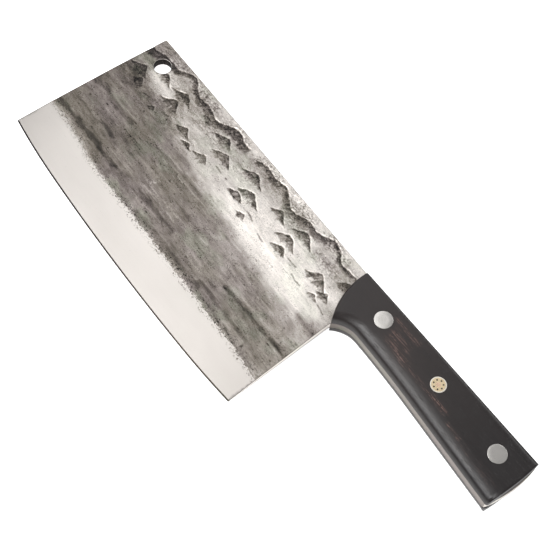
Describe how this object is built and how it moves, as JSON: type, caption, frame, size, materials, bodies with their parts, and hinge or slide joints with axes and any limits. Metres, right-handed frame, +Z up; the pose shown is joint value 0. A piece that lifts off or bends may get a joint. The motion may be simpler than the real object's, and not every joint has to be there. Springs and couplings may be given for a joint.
{
  "type": "kitchen cleaver",
  "caption": "Full-tang forged kitchen cleaver with a tall rectangular blade, hanging hole, forge-scale finish and riveted dark wood handle scales.",
  "frame": {"origin": "under the middle of the cleaver, on the surface that the rear handle scale lies on", "axes": "+X from the tip edge to the butt, +Y from the cutting edge to the spine, +Z up out of the front face"},
  "size_m": [0.2982, 0.0986, 0.0178],
  "materials": {
    "forged_steel": "dark forge scale above a satin ground bevel",
    "dark_wood": "oiled satin",
    "rivet_steel": "satin",
    "nickel_silver": "satin",
    "brass": "satin",
    "copper": "satin",
    "resin": "polished"
  },
  "bodies": {
    "root": {"blade": "forged_steel", "front_scale": "dark_wood", "rear_scale": "dark_wood", "neck_end_rivet_sleeve": "rivet_steel", "neck_end_rivet_pin": "rivet_steel", "butt_end_rivet_sleeve": "rivet_steel", "butt_end_rivet_pin": "rivet_steel", "mosaic_tube": "nickel_silver", "mosaic_body": "brass", "mosaic_core": "copper", "mosaic_dot_1": "resin", "mosaic_dot_2": "resin", "mosaic_dot_3": "resin", "mosaic_dot_4": "resin", "mosaic_dot_5": "resin", "mosaic_dot_6": "resin", "mosaic_dot_7": "resin"}
  },
  "joints": []
}
